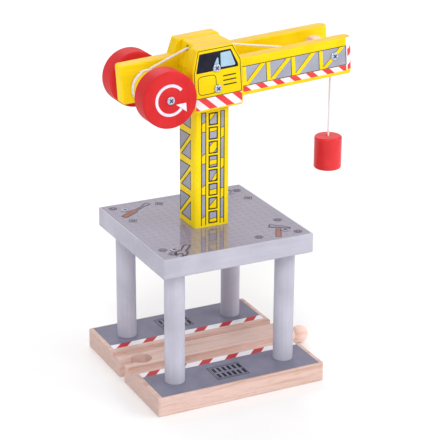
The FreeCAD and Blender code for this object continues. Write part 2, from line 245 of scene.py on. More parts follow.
def beech(name, colour, stretch, end_direction=None, top_shade_share=1.0):
    """Clear lacquered beech, with its short dark flecks, wide figure and pores.

    A board has its end grain on the faces in the end direction, and its top may be darkened as
    painted shade.
    """
    material, tree, shader = new_material(name)
    along = object_coordinates(tree, stretch)
    even = object_coordinates(tree)
    figure = noise(tree, along, 0.16, 3.0, 0.55, 0.6)
    fibre = noise(tree, along, 1.3, 6.0, 0.65)
    fleck_size = tuple(share * 2.4 for share in stretch)
    flecks = noise(tree, object_coordinates(tree, fleck_size), 1.0, 1.0, 0.4)
    dark = tinted(colour, (0.80, 0.66, 0.56))
    figure_stops = ((0.30, dark), (0.49, colour), (0.68, shade(colour, 1.12)))
    tone = ramp(tree, figure, figure_stops)
    fine = ramp(tree, fibre, ((0.3, grey(0.90)), (0.6, grey(1.0))))
    tone = blend_colour(tree, 1.0, tone, fine, "MULTIPLY")
    mark = ramp(tree, flecks, ((0.63, grey(0.0)), (0.72, grey(0.6))))
    tone = blend_colour(tree, mark, tone, tinted(colour, (0.68, 0.55, 0.46)))
    if end_direction:
        layers = object_coordinates(tree, (0.3, 0.35, 1.4))
        rings = noise(tree, layers, 0.5, 4.0, 0.6, 0.4)
        ring_stops = ((0.3, shade(colour, 0.74)), (0.7, shade(colour, 0.92)))
        end_tone = ramp(tree, rings, ring_stops)
        end = facing(tree, end_direction, 0.6, 0.9)
        tone = blend_colour(tree, end, tone, end_tone)
        # Painted shade: the upward faces are darkened by a share, for the shade that falls on the
        # base's top under the platform.
        top = facing(tree, UP, 0.6, 0.9)
        tone = blend_colour(tree, top, tone, grey(top_shade_share), "MULTIPLY")
    tree.links.new(tone, shader.inputs["Base Color"])
    sealer = noise(tree, even, 0.9, 2.0)
    set_gloss(tree, shader, sealer, 0.42, 0.55)
    shader.inputs["Specular IOR Level"].default_value = 0.2
    bumps(tree, shader, (fibre, 0.45, 0.00012), (flecks, 0.15, 0.00008))
    return material


def ink(name, colour, roughness=0.32):
    """A printed film with the faint mottle of screen ink."""
    material, tree, shader = new_material(name)
    even = object_coordinates(tree)
    cloud = noise(tree, even, 0.12, 4.0)
    dots = noise(tree, even, 3.2, 1.0)
    tone_stops = ((0.32, shade(colour, 0.93)), (0.68, shade(colour, 1.05, 0.008)))
    tone = ramp(tree, cloud, tone_stops)
    mottle = ramp(tree, dots, ((0.35, grey(0.95)), (0.65, grey(1.0))))
    tone = blend_colour(tree, 1.0, tone, mottle, "MULTIPLY")
    tree.links.new(tone, shader.inputs["Base Color"])
    set_gloss(tree, shader, dots, roughness - 0.03, roughness + 0.06)
    shader.inputs["Specular IOR Level"].default_value = 0.07
    bumps(tree, shader, (dots, 0.15, 0.00003))
    return material


def within(tree, value, half, blur):
    """1 where a 0 to 1 value lies this near its middle, fading out over the blur."""
    away = tree.nodes.new("ShaderNodeMath")
    away.operation = "PINGPONG"
    away.inputs[1].default_value = 0.5
    tree.links.new(value, away.inputs[0])
    edge = tree.nodes.new("ShaderNodeMapRange")
    edge.interpolation_type = "SMOOTHSTEP"
    set_values(edge, {"From Min": 0.5 - half - blur, "From Max": 0.5 - half + blur})
    tree.links.new(away.outputs["Value"], edge.inputs["Value"])
    return edge.outputs["Result"]


def multiply(tree, first, second):
    product = tree.nodes.new("ShaderNodeMath")
    product.operation = "MULTIPLY"
    tree.links.new(first, product.inputs[0])
    if isinstance(second, bpy.types.NodeSocket):
        tree.links.new(second, product.inputs[1])
    else:
        product.inputs[1].default_value = second
    return product.outputs["Value"]


def tread_plate(name, colour, mark_colour, square=5.35):
    """The varnished deck, printed with bars that turn across from square to square."""
    material, tree, shader = new_material(name)
    even = object_coordinates(tree)
    cloud = noise(tree, even, 0.05, 4.0)
    dots = noise(tree, even, 3.2, 1.0)
    tone = ramp(tree, cloud, ((0.3, shade(colour, 0.94)), (0.7, shade(colour, 1.05))))
    cells = tree.nodes.new("ShaderNodeVectorMath")
    cells.operation = "MULTIPLY"
    cells.inputs[1].default_value = (1 / square, 1 / square, 0)
    tree.links.new(even, cells.inputs[0])
    parts = tree.nodes.new("ShaderNodeSeparateXYZ")
    tree.links.new(cells.outputs["Vector"], parts.inputs["Vector"])
    lifted = tree.nodes.new("ShaderNodeVectorMath")  # to the middle of a layer of the checker
    lifted.inputs[1].default_value = (0, 0, 0.5)
    tree.links.new(cells.outputs["Vector"], lifted.inputs[0])
    checker = tree.nodes.new("ShaderNodeTexChecker")
    checker.inputs["Scale"].default_value = 1.0
    tree.links.new(lifted.outputs["Vector"], checker.inputs["Vector"])
    long_half, short_half, blur = 0.42, 0.24, 0.07  # of a bar, as shares of a square
    bar = [[within(tree, parts.outputs[axis], half, blur) for axis in ("X", "Y")]
           for half in (long_half, short_half)]
    along_bar = multiply(tree, bar[0][0], bar[1][1])
    across_bar = multiply(tree, bar[1][0], bar[0][1])
    marks = blend_colour(tree, checker.outputs["Fac"], along_bar, across_bar)
    mark_strength = 0.42
    share = multiply(tree, marks, mark_strength)
    tone = blend_colour(tree, share, tone, mark_colour)
    tree.links.new(tone, shader.inputs["Base Color"])
    set_gloss(tree, shader, dots, 0.32, 0.40)
    set_values(shader, {"Specular IOR Level": 0.1, "Coat Weight": 1.0, "Coat IOR": 2.0,
                        "Coat Roughness": polish})
    return material


def steel(name, colour, roughness):
    """Bright plated steel with turning marks and handling scratches."""
    material, tree, shader = new_material(name)
    even = object_coordinates(tree)
    marks = noise(tree, object_coordinates(tree, (6, 1, 6)), 1.4, 3.0)
    cloud = noise(tree, even, 0.8, 3.0)
    tone = ramp(tree, cloud, ((0.3, shade(colour, 0.86)), (0.7, colour)))
    tree.links.new(tone, shader.inputs["Base Color"])
    shader.inputs["Metallic"].default_value = 1.0
    set_gloss(tree, shader, marks, roughness - 0.06, roughness + 0.1)
    bumps(tree, shader, (marks, 0.2, 0.00003))
    return material


def plastic(name, colour):
    """Plain matt nylon."""
    material, tree, shader = new_material(name)
    even = object_coordinates(tree)
    texture = noise(tree, even, 2.5, 3.0)
    tone = ramp(tree, texture, ((0.3, shade(colour, 0.95)), (0.7, colour)))
    tree.links.new(tone, shader.inputs["Base Color"])
    set_gloss(tree, shader, texture, 0.45, 0.58)
    bumps(tree, shader, (texture, 0.2, 0.00003))
    return material


def cotton(name, colour):
    """Twisted cotton cord: fibres, slight fuzz of tone and a soft sheen."""
    material, tree, shader = new_material(name)
    even = object_coordinates(tree)
    fibre = noise(tree, even, 7.0, 3.0, 0.7)
    cloud = noise(tree, even, 0.4, 2.0)
    tone = ramp(tree, cloud, ((0.3, shade(colour, 0.93)), (0.7, colour)))
    fuzz = ramp(tree, fibre, ((0.3, grey(0.93)), (0.65, grey(1.0))))
    tone = blend_colour(tree, 1.0, tone, fuzz, "MULTIPLY")
    tree.links.new(tone, shader.inputs["Base Color"])
    set_gloss(tree, shader, fibre, 0.78, 0.92)
    set_values(shader, {"Sheen Weight": 0.4, "Sheen Roughness": 0.5})
    bumps(tree, shader, (fibre, 0.6, 0.00008))
    return material


yellow = (0.93, 0.665, 0.0015)
# The peach that the head's upward faces take: paint worn thin along the grain, and partly a painted
# reflection.
bare_and_sheen_yellow = (0.72, 0.43, 0.10)
# Painted light: the mast's yellow is the same yellow paint made brighter, to make up for the shade
# the cab and wheels cast on the mast.
mast_yellow_lit = (1.0, 0.71, 0.0015)
red = (0.74, 0.026, 0.032)
light_grey = (0.52, 0.51, 0.60)
platform_grey = (0.49, 0.48, 0.565)
wheel_red = (0.66, 0.024, 0.028)
deck_grey = (0.245, 0.218, 0.32)
base_grey = (0.205, 0.20, 0.27)
beech_colour = (0.735, 0.525, 0.465)
along_x = (0.06, 1, 1)
along_y = (1, 0.06, 1)
along_z = (1, 1, 0.06)

PAINT_HEAD = painted_wood("paint_yellow_head", yellow, along_x, bare_and_sheen_yellow, head_lean)
PAINT_MAST_LIT = painted_wood("paint_yellow_mast_lit", mast_yellow_lit, along_z)
PAINT_DRUM = painted_wood("paint_yellow_drum", yellow, along_y)
PAINT_POST = painted_wood("paint_grey_post", light_grey, along_z, roughness=0.4)
PAINT_PLATFORM = painted_wood("paint_grey_platform", platform_grey, along_x, roughness=0.4)
PAINT_WHEEL = painted_wood("paint_red_wheel", wheel_red, along_z, roughness=0.4, sheen=0.05)
PAINT_LOAD = painted_wood("paint_red_load", red, along_z, roughness=0.3, varnish=0.3)
# The base's top at 0.87 of its brightness is painted shade.
BEECH_BASE = beech("beech_base", beech_colour, along_x, REAR, 0.87)
BEECH_PEG = beech("beech_peg", (0.97, 0.70, 0.61), along_x)
BEECH_DOWEL = beech("beech_dowel", (0.88, 0.67, 0.60), along_y)
STEEL = steel("plated_steel", (0.56, 0.62, 0.75), 0.26)
DULL_STEEL = steel("plated_steel_dull", (0.34, 0.33, 0.39), 0.34)
# Painted shade: a dark blue steel for the screws' cross recesses.
RECESS_SHADE = steel("steel_recess_shade", (0.09, 0.13, 0.30), 0.45)
NICKEL = steel("nickel", (0.70, 0.69, 0.67), 0.2)
NYLON = plastic("nylon", (0.84, 0.84, 0.82))
COTTON = cotton("cotton", (0.98, 0.94, 0.98))

INK = {
    "yellow": ink("ink_yellow", yellow),
    "black": ink("ink_black", (0.022, 0.014, 0.015)),
    "navy": ink("ink_navy", (0.014, 0.014, 0.028), 0.24),
    "blue": ink("ink_blue", (0.38, 0.55, 0.71), 0.28),
    "grey": ink("ink_grey", (0.365, 0.375, 0.45)),
    "red": ink("ink_red", (0.78, 0.06, 0.065)),
    "dark_red": ink("ink_dark_red", (0.50, 0.035, 0.045)),
    "white": ink("ink_white", (0.83, 0.80, 0.84)),
    "deck": tread_plate("ink_deck", deck_grey, (0.175, 0.155, 0.225)),
    "lilac": ink("ink_lilac", (0.78, 0.74, 0.83)),
    "plate": ink("ink_plate", (0.30, 0.27, 0.345)),
    "base": ink("ink_base", base_grey),
    "mark": ink("ink_mark", (0.085, 0.075, 0.11)),
    "brown": ink("ink_brown", (0.34, 0.15, 0.11)),
}

node_materials = {
    PAINT_HEAD: ("right_side_board", "left_side_board", "right_cab_block", "left_cab_block"),
    PAINT_MAST_LIT: ("mast",),
    PAINT_DRUM: ("winding_drum",),
    PAINT_POST: ("rear_right_post", "rear_left_post", "front_right_post", "front_left_post"),
    PAINT_PLATFORM: ("platform_board",),
    PAINT_WHEEL: ("right_winding_wheel", "left_winding_wheel"),
    PAINT_LOAD: ("load_block",),
    BEECH_BASE: ("base_board",),
    BEECH_PEG: ("coupling_peg",),
    BEECH_DOWEL: ("guide_dowel",),
    STEEL: ("post_screws", "mast_screws", "swivel_pin", "wheel_screws",
            "right_cab_screws", "left_cab_screws", "right_guide_screw", "left_guide_screw"),
    DULL_STEEL: ("platform_screws",),
    NICKEL: ("load_magnet",),
    NYLON: ("swivel_washer",),
    COTTON: ("cord_windings", "cord_run", "cord_drop", "cord_knot"),
}
for material, names in node_materials.items():
    for name in names:
        mesh = frame["nodes"][name].data
        mesh.materials.clear()
        mesh.materials.append(material)


def paint_recess_shade(name, out):
    """Paints shade into the cross recess of each screw of a set, whose heads face this way: a dark
    blue steel on its walls and floor, as painted shade.
    """
    mesh = frame["nodes"][name].data
    if len(mesh.materials) < 2:
        mesh.materials.append(RECESS_SHADE)
    levels = [vertex.co.dot(out) for vertex in mesh.vertices]
    top = max(levels)
    rim_depth = 0.02
    floor_between = (0.1, 0.9)
    for polygon in mesh.polygons:
        depths = [(top - levels[index]) / MM for index in polygon.vertices]
        turned = abs(polygon.normal.dot(out))
        wall = turned < 0.05 and min(depths) < rim_depth
        floor = turned > 0.99 and floor_between[0] < min(depths) and max(depths) < floor_between[1]
        if wall or floor:
            polygon.material_index = 1


paint_recess_shade("platform_screws", UP)
for side, out in (("right", RIGHT), ("left", LEFT)):
    paint_recess_shade(side + "_cab_screws", out)
    paint_recess_shade(side + "_guide_screw", out)
    paint_recess_shade("wheel_screws", out)


# ---------------------------------------- cord

cord_r = 0.65
strand_count = 3
strand_lay = 3.6  # the length in which a strand goes once round the cord
strand_step = 0.35
strand_sides = 8
cord_crown = 0.78  # how far the strands stand out, where the cord is free to swell
wound_crown = 0.70


def new_piece(name, mesh, body):
    piece = bpy.data.objects.new(name, mesh)
    bpy.context.scene.collection.objects.link(piece)
    if body:
        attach(piece, body)
    return piece


def spline_line(route):
    """The points of a smooth curve through a route's control points, in metres."""
    curve = bpy.data.curves.new("route", "CURVE")
    curve.dimensions = "3D"
    spline = curve.splines.new("NURBS")
    spline.points.add(len(route) - 1)
    for point, at in zip(spline.points, route):
        point.co = (*at, 1)
    spline.order_u = 3
    spline.use_endpoint_u = True
    spline.resolution_u = 24
    holder = bpy.data.objects.new("route", curve)
    mesh = bpy.data.meshes.new_from_object(holder)
    line = [vertex.co.copy() for vertex in mesh.vertices]
    bpy.data.objects.remove(holder)
    bpy.data.curves.remove(curve)
    bpy.data.meshes.remove(mesh)
    return line


def evenly(line, step):
    """The same line with its points a step apart."""
    lengths = [0.0]
    for before, after in zip(line, line[1:]):
        lengths.append(lengths[-1] + (after - before).length)
    count = max(2, round(lengths[-1] / step))
    points = []
    index = 0
    for number in range(count + 1):
        at = lengths[-1] * number / count
        while index < len(line) - 2 and lengths[index + 1] < at:
            index += 1
        span = lengths[index + 1] - lengths[index]
        share = (at - lengths[index]) / span if span else 0.0
        points.append(line[index].lerp(line[index + 1], min(1.0, share)))
    return points


def sweep(shell, line, radius, sides, offset=0.0, lay=1.0, phase=0.0):
    """Adds a tube to a bmesh.  With an offset it winds round the line, one turn each lay."""
    before_each = line[:1] + line
    after_each = line[1:] + line[-1:]
    tangents = [(after - before).normalized() for before, after in zip(before_each, after_each)]
    side = tangents[0].orthogonal().normalized()
    rings = []
    travelled = 0.0
    for index, (point, tangent) in enumerate(zip(line, tangents)):
        if index:
            travelled += (point - line[index - 1]).length
            side = (tangents[index - 1].rotation_difference(tangent) @ side).normalized()
        other = tangent.cross(side)
        turn = phase + 2 * math.pi * travelled / lay
        centre = point + (side * math.cos(turn) + other * math.sin(turn)) * offset
        ring = []
        for corner in range(sides):
            angle = turn + 2 * math.pi * corner / sides
            arm = side * math.cos(angle) + other * math.sin(angle)
            ring.append(shell.verts.new(centre + arm * radius))
        rings.append(ring)
    for before, after in zip(rings, rings[1:]):
        for corner in range(sides):
            following = (corner + 1) % sides
            shell.faces.new((before[corner], before[following], after[following], after[corner]))
    shell.faces.new(list(reversed(rings[0])))
    shell.faces.new(rings[-1])


def finished_mesh(name, shell, materials, smooth):
    bmesh.ops.recalc_face_normals(shell, faces=shell.faces)
    mesh = bpy.data.meshes.new(name)
    shell.to_mesh(mesh)
    shell.free()
    for material in materials:
        mesh.materials.append(material)
    for polygon in mesh.polygons:
        polygon.use_smooth = smooth and len(polygon.vertices) == 4
    return mesh


def lay_strands(shell, line, crown):
    """Twisted strands round a line, which stand out from it as far as the crown."""
    strand_r = crown / (1 + 1 / math.sin(math.pi / strand_count))
    path = evenly(line, strand_step * MM)
    for strand in range(strand_count):
        phase = 2 * math.pi * strand / strand_count
        sweep(shell, path, strand_r * MM, strand_sides, (crown - strand_r) * MM, strand_lay * MM,
              phase)


def laid_cord(name, line, body, crown=cord_crown):
    """A laid cord along a line, as one mesh."""
    shell = bmesh.new()
    lay_strands(shell, line, crown)
    mesh = finished_mesh(name, shell, [COTTON], True)
    return new_piece(name, mesh, body)


drum_centre = HEAD.inverted() @ joint_at["winding"] / MM
drum_x = drum_centre.x
drum_z = drum_centre.z
drum_r = 10.0
wrap_r = drum_r + cord_r
wrap_near_board = 8.3  # where the turns end, beside the tail board
wrap_turns = 2.0
wrap_pitch = 1.3
wrap_end_y = wrap_near_board - wrap_turns * wrap_pitch
wrap_steps = 16  # route points in a turn
channel_rear = (-10.4, 0.0, 14.2)  # the ends of the cord's way between the cab blocks
channel_front = (15.4, 0.0, 12.3)
guide_centre = (81.2, 0.0, -3.4)
run_start = 5.7  # from the drum to where the run begins
load_low, load_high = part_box("load_block")
load_x = (load_low.x + load_high.x) / 2
drop_top_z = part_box("cord_drop")[1].z
knot_low, knot_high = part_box("cord_knot")
knot_r = 1.35
easing = 6.0  # how far from a bend its neighbouring route points lie


def winding_point(turn):
    """A point of the cord's turns on the drum, counted back from where the cord leaves it."""
    reach_x = channel_rear[0] - drum_x
    reach_z = channel_rear[2] - drum_z
    slope = math.atan2(reach_z, reach_x) - math.asin(wrap_r / math.hypot(reach_x, reach_z))
    angle = slope + math.pi / 2 + 2 * math.pi * turn
    x = drum_x + wrap_r * math.cos(angle)
    z = drum_z + wrap_r * math.sin(angle)
    return (x, wrap_end_y + wrap_pitch * turn, z)


def toward(start, end, distance):
    """The point this far from the start on the way to the end."""
    return start + (end - start).normalized() * distance


def make_windings():
    count = round(wrap_steps * wrap_turns)
    route = [on_head(*winding_point(step / wrap_steps)) for step in range(count + 1)]
    line = spline_line(route)
    piece = laid_cord("cord_turns", line, "winder", wound_crown)
    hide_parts("cord_windings")


def make_run():
    leave = on_head(*winding_point(0.0))
    rear = on_head(*channel_rear)
    front = on_head(*channel_front)
    guide = on_head(*guide_centre)
    aim = (guide - front).normalized()
    corner = front + aim * ((load_x - front.x) / aim.x)
    end = Vector((load_x, 0, drop_top_z))
    near = easing * MM
    route = [toward(leave, rear, run_start * MM), toward(rear, leave, near),
             rear, toward(rear, front, near), toward(front, rear, near),
             front, toward(front, corner, near), toward(corner, front, near),
             corner, toward(corner, end, near), end]
    line = spline_line(route)
    piece = laid_cord("cord_to_boom_tip", line, "head")
    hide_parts("cord_run")


def make_knot():
    """An overhand knot drawn tight above the load, and the end that goes down into the load."""
    knot_z = knot_high.z - knot_r * MM
    reach = 0.21 * MM
    height = 2.6 * reach
    knot_cord_r = 0.72 * cord_r
    steps = 72
    loop = []
    for step in range(steps + 1):
        t = 2 * math.pi * step / steps
        loop.append(Vector((load_x + reach * (math.sin(t) + 2 * math.sin(2 * t)),
                            reach * (math.cos(t) - 2 * math.cos(2 * t)),
                            knot_z - height * math.sin(3 * t))))
    shell = bmesh.new()
    sweep(shell, evenly(loop, 0.1 * MM), knot_cord_r * MM, 12)
    lay_strands(shell, [Vector((load_x, 0, z)) for z in (knot_z, knot_low.z)], cord_crown)
    mesh = finished_mesh("cord_overhand_knot", shell, [COTTON], True)
    knot = new_piece("cord_overhand_knot", mesh, "load")
    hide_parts("cord_knot")
    return knot


def make_drop(knot):
    top = Vector((load_x, 0, drop_top_z))
    foot = Vector((load_x, 0, knot_high.z - knot_r * MM))
    line = spline_line([top, top.lerp(foot, 0.5), foot])
    piece = laid_cord("cord_to_load", line, None)
    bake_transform(piece)
    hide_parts("cord_drop")


make_windings()
make_run()
make_drop(make_knot())


# ---------------------------------------- printed artwork

film = 0.035  # the thickness of one layer of ink
film_sink = 0.2  # how deep a layer sits in the one below, as a share of its thickness


class Face:
    """A flat face to print on: its origin, the directions across and up, and the way out."""

    def __init__(self, origin, across, up, out):
        self.origin = origin
        self.across = across
        self.up = up
        self.out = out

    def at(self, x, y, height):
        return self.origin + (self.across * x + self.up * y + self.out * height) * MM


def head_face(y, out):
    """A side of the head: across runs to the boom's tip on both, so the artwork is mirrored."""
    turn = HEAD.to_3x3()
    return Face(on_head(0, y, 0), turn @ FRONT, turn @ UP, turn @ out)


class Artwork:
    """Flat shapes printed one over another, kept as thin closed plates of one mesh."""

    def __init__(self, face):
        self.face = face
        self.shell = bmesh.new()
        self.colours = []

    def shape(self, colour, outline, layer=0):
        if colour not in self.colours:
            self.colours.append(colour)
        low = film * layer - film_sink * film
        high = film * (layer + 1)
        bottom = [self.shell.verts.new(self.face.at(x, y, low)) for x, y in outline]
        top = [self.shell.verts.new(self.face.at(x, y, high)) for x, y in outline]
        faces = [self.shell.faces.new(bottom), self.shell.faces.new(top)]
        for index in range(len(outline)):
            following = (index + 1) % len(outline)
            side = (bottom[index], bottom[following], top[following], top[index])
            faces.append(self.shell.faces.new(side))
        for face in faces:
            face.material_index = self.colours.index(colour)

    def box(self, colour, x0, x1, y0, y1, layer=0):
        self.shape(colour, [(x0, y0), (x1, y0), (x1, y1), (x0, y1)], layer)

    def stroke(self, colour, points, width, layer=0, closed=False):
        """A line of this width through the points, mitred at its bends."""
        left, right = offset_sides(points, width / 2, closed)
        count = len(points)
        for index in range(count if closed else count - 1):
            following = (index + 1) % count
            piece = [left[index], left[following], right[following], right[index]]
            self.shape(colour, piece, layer)

    def finish(self, name, body):
        mesh = finished_mesh(name, self.shell, [INK[colour] for colour in self.colours], False)
        return new_piece(name, mesh, body)


def offset_sides(points, distance, closed):
    """The points moved to the left and to the right of a line."""
    sharpest_mitre = 0.35
    left = []
    right = []
    count = len(points)
    for index, (x, y) in enumerate(points):
        before = points[index - 1] if closed or index else None
        after = points[(index + 1) % count] if closed or index < count - 1 else None
        ways = []
        if before:
            ways.append(Vector((x - before[0], y - before[1])).normalized())
        if after:
            ways.append(Vector((after[0] - x, after[1] - y)).normalized())
        along = (ways[0] + ways[-1]).normalized()
        reach = distance / max(sharpest_mitre, along.dot(ways[0]))
        left.append((x - along.y * reach, y + along.x * reach))
        right.append((x + along.y * reach, y - along.x * reach))
    return left, right


def clipped(outline, axis, limit, keep_above):
    """The part of an outline above or below a limit along one axis."""
    sign = 1 if keep_above else -1
    result = []
    for before, after in zip(outline[-1:] + outline[:-1], outline):
        inside_before = sign * (before[axis] - limit) >= 0
        inside_after = sign * (after[axis] - limit) >= 0
        if inside_before != inside_after:
            share = (limit - before[axis]) / (after[axis] - before[axis])
            result.append(tuple(a + (b - a) * share for a, b in zip(before, after)))
        if inside_after:
            result.append(after)
    return result


def within_span(outline, axis, low, high):
    """The part of an outline between two limits along one axis."""
    return clipped(clipped(outline, axis, low, True), axis, high, False)


def rounded(outline, radius, steps=5):
    """An outline with its corners rounded by arcs."""
    result = []
    before_each = outline[-1:] + outline[:-1]
    after_each = outline[1:] + outline[:1]
    for before, corner, after in zip(before_each, outline, after_each):
        corner = Vector(corner)
        inward = (Vector(before) - corner).normalized()
        outward = (Vector(after) - corner).normalized()
        half = inward.angle(outward) / 2
        setback = radius / math.tan(half)
        centre = corner + (inward + outward).normalized() * (radius / math.sin(half))
        first = corner + inward * setback - centre
        last = corner + outward * setback - centre
        sweep_angle = first.angle_signed(last)
        for step in range(steps + 1):
            arm = first.copy()
            arm.rotate(Matrix.Rotation(-sweep_angle * step / steps, 2))
            result.append(tuple(centre + arm))
    return result


def hazard(art, x0, x1, y0, y1, first, pitch, width, lean, colour="red"):
    """A white band with slanting red bars; lean is how far a bar's top stands ahead of its foot."""
    art.box("white", x0, x1, y0, y1)
    start = first
    while start < x1 + abs(lean):
        bar = [(start, y0), (start + width, y0), (start + width + lean, y1), (start + lean, y1)]
        bar = within_span(bar, 0, x0, x1)
        if len(bar) > 2:
            art.shape(colour, bar, 1)
        start += pitch


# ---------------------------------------- prints on the crane head

upright_middles = (18.2, 34.75, 52.1, 71.7)
brace_middles = (((19.6, -9.3), (31.3, 1.3)), ((37.2, -9.5), (49.4, 1.7)),
                 ((54.8, -9.3), (66.3, 1.5)), ((74.0, -9.4), (87.1, 1.8)))
boom_print_start = 16.9


def print_cab(art):
    """The cab's edge line, window, vents and panel, over a hazard band."""
    line = 0.42
    vent_line = 0.75
    band_top = -13.0
    outline = [(-15.2, band_top), (-15.2, 2.4), (-11.7, 16.4), (11.0, 16.4), (15.75, 7.0),
               (15.75, band_top)]
    art.stroke("black", outline, line, closed=True)
    window = [(-11.1, 14.5), (-13.9, 2.8), (14.3, 2.8), (14.2, 4.8), (9.9, 14.6)]
    art.shape("navy", rounded(window, 0.4))
    pane = [(2.9, 13.2), (2.7, 4.3), (12.7, 4.1), (9.5, 13.4)]
    art.shape("blue", rounded(pane, 0.7), 1)
    small_pane = [(-2.8, 3.6), (1.5, 3.6), (1.3, 10.2), (0.9, 10.8), (0.4, 10.4), (-2.6, 5.0)]
    art.shape("blue", small_pane, 1)
    for level in (-1.5, -4.35, -7.2):
        art.stroke("black", [(3.8, level), (12.6, level)], vent_line)
    panel = [(-13.0, -11.0), (-1.0, -11.0), (-1.0, 0.5), (-13.0, 0.5)]
    art.stroke("black", rounded(panel, 2.6), line, closed=True)
    hazard(art, -15.4, 15.9, -20.4, -13.3, first=-29.3, pitch=11.5, width=5.3, lean=-7.4)


def print_boom(art, end):
    """Lattice bays between yellow uprights, over a hazard band."""
    start = boom_print_start
    top = 1.75
    foot = -10.45
    rail_line = 0.38
    end_line = 0.4
    art.box("grey", start, end, foot, top)
    for level in (top, foot):
        art.stroke("black", [(start, level), (end, level)], rail_line, 1)
    inset = 0.2
    low = foot + inset
    high = top - inset
    foot_left, foot_right = -2.1, 1.2  # how far a brace reaches each side of its middle line
    top_left, top_right = -1.8, 1.8
    shadow = 0.4
    for (x0, y0), (x1, y1) in brace_middles:
        slope = (x1 - x0) / (y1 - y0)
        light = [(x0 + foot_left, low), (x0 + foot_right, low), (x1 + top_right, high),
                 (x1 + top_left, high)]
        dark = [(x0 + foot_left - shadow * slope, low), light[1], light[2],
                (x1 + top_left - shadow * slope, high)]
        art.shape("black", dark, 1)
        art.shape("yellow", light, 2)
    half_upright = 1.25
    for index, middle in enumerate(upright_middles):
        if index:
            art.box("black", middle - half_upright - shadow, middle, low, high, 2)
        art.box("yellow", middle - half_upright, middle + half_upright, low, high, 3)
    art.stroke("black", [(end, foot), (end, top)], end_line, 3)
    hazard(art, start, end, -14.2, -10.8, first=5.6, pitch=11.72, width=5.25, lean=-3.6)


nose_r = 4.4  # the rounding of the boom's end
head_rim_r = 1.0  # and of the side boards' upper edges


class Nose(Face):
    """A side of the head that bends round the boom's end, and over its upper edge."""

    def __init__(self, face, bend, flat_top):
        super().__init__(face.origin, face.across, face.up, face.out)
        self.bend = bend
        self.flat_top = flat_top

    def at(self, x, y, height):
        tip = max(0.0, y - self.flat_top) / head_rim_r
        level = min(y, self.flat_top) + (head_rim_r + height) * math.sin(tip)
        inset = head_rim_r - (head_rim_r + height) * math.cos(tip)
        angle = max(0.0, x - self.bend) / nose_r
        reach = min(x, self.bend) + (nose_r - inset) * math.sin(angle)
        return super().at(reach, level, (nose_r - inset) * math.cos(angle) - nose_r)


def print_nose(name, face, bend, flat_top):
    """Slanting red bars on a white strip, carried round to the middle of the boom's end."""
    art = Artwork(Nose(face, bend, flat_top))
    low = -13.7
    margin = 0.6
    slope = 0.5
    tall = 4.6
    steps = 16
    step = (nose_r * math.pi / 2 + margin) / steps
    rim_rows = 3
    rim_row = 0.3
    for index in range(steps):
        x0 = bend - margin + step * index
        x1 = x0 + step
        art.box("white", x0, x1, low, flat_top)
        for row in range(rim_rows):
            art.box("white", x0, x1, flat_top + rim_row * row, flat_top + rim_row * (row + 1))
        if x0 < bend:
            continue
        for foot in (-25.7, -15.5, -5.3):
            foot0 = foot + slope * (x0 - bend)
            foot1 = foot + slope * (x1 - bend)
            bar = [(x0, foot0), (x1, foot1), (x1, foot1 + tall), (x0, foot0 + tall)]
            bar = within_span(bar, 1, low, flat_top)
            if len(bar) > 2:
                art.shape("red", bar, 1)
    art.finish(name, "head")


def print_side(side, face, print_end, boom_tip, flat_top):
    """Prints one side of the head; its upper edge starts to round at the flat top."""
    art = Artwork(face)
    print_cab(art)
    print_boom(art, print_end)
    art.finish(side + "_side_print", "head")
    print_nose(side + "_nose_print", face, boom_tip - nose_r, flat_top)


half_head = 18.0
right_boom_tip, left_boom_tip = 94.7, 93.2
right_print_end, left_print_end = 89.6, 88.1
right_flat_top, left_flat_top = 6.0, 7.4
print_side("right", head_face(-half_head, RIGHT), right_print_end, right_boom_tip, right_flat_top)
print_side("left", head_face(half_head, LEFT), left_print_end, left_boom_tip, left_flat_top)


# ---------------------------------------- prints on the wheels

def print_wheel(name, y, out):
    """A broken ring with an arrow head, which shows which way to wind."""
    art = Artwork(head_face(y, out))
    radius = 9.0
    width = 1.8
    steps = 44
    start = math.radians(35)
    length = math.radians(282)
    angles = [start + length * step / steps for step in range(steps + 1)]
    ring = [(drum_x + radius * math.cos(angle), drum_z + radius * math.sin(angle))
            for angle in angles]
    art.stroke("lilac", ring, width)
    arrow_head = ((3.4, -3.2), (9.9, -3.2), (9.9, -8.7))
    art.shape("lilac", [(drum_x + x, drum_z + z) for x, z in arrow_head], 1)
    art.finish(name, "winder")


right_wheel_face, left_wheel_face = -25.3, 38.5
print_wheel("right_wheel_print", right_wheel_face, RIGHT)
print_wheel("left_wheel_print", left_wheel_face, LEFT)


# ---------------------------------------- prints on the mast

mast_low, mast_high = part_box("mast")
mast_half = (mast_high.x - mast_low.x) / 2 / MM
mast_foot = mast_low.z / MM
mast_top = mast_high.z / MM


def mast_face(out):
    """A side of the mast, seen from outside: across runs to the right, up from the floor."""
    across = UP.cross(out)
    return Face(out * mast_half * MM, across, UP, out)


def print_lattice(name, out):
    """Zig-zag bracing: grey triangles with dark outlines."""
    art = Artwork(mast_face(out))
    pitch = 20.1
    first_foot = 106.1
    outer, inner = -9.9, 5.1
    outer_apex, inner_apex = 4.2, -7.9
    low = mast_foot + 0.6
    high = mast_top - 1.4
    triangles = []
    for k in range(-1, 4):
        foot = first_foot + pitch * k
        triangles.append([(outer, foot), (outer_apex, foot + 13.4), (outer, foot + 13.1)])
        triangles.append([(inner, foot + 9.9), (inner, foot - 2.2), (inner_apex, foot - 1.9)])
    for outline in triangles:
        outline = within_span(outline, 1, low, high)
        if len(outline) > 2:
            art.shape("grey", outline)
            art.stroke("black", outline, 0.6, 1, closed=True)
    art.finish(name, "base")


